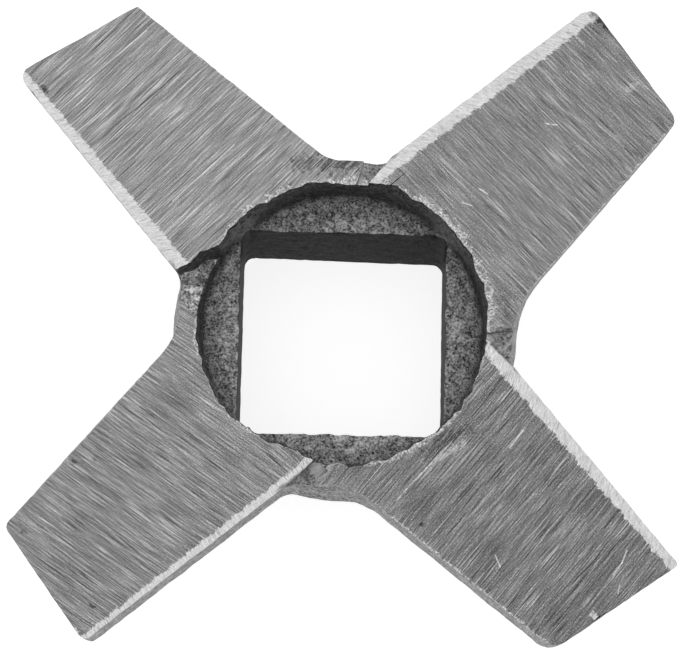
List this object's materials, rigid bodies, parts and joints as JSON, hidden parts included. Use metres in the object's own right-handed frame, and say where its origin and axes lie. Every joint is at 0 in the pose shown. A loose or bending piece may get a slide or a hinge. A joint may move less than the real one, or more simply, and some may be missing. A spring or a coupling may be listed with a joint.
{
  "type": "meat grinder knife",
  "caption": "Cross-shaped cast knife for a small hand meat grinder: flat ground blades with bright leading edges, round recess and square drive hole in the hub.",
  "frame": {"origin": "centre of the hub's back face, on the axis of the square drive hole", "axes": "+Z along the drive axis, from the hub's back face to the ground cutting face; +X and +Y square to the sides of the drive hole, halfway between the blades"},
  "size_m": [0.0399, 0.0392, 0.0105],
  "materials": {
    "cast_steel": "cutting face ground with fine straight marks, bright ground edge strips, rough dark cast hub and back"
  },
  "bodies": {
    "root": {"knife": "cast_steel"}
  },
  "joints": []
}
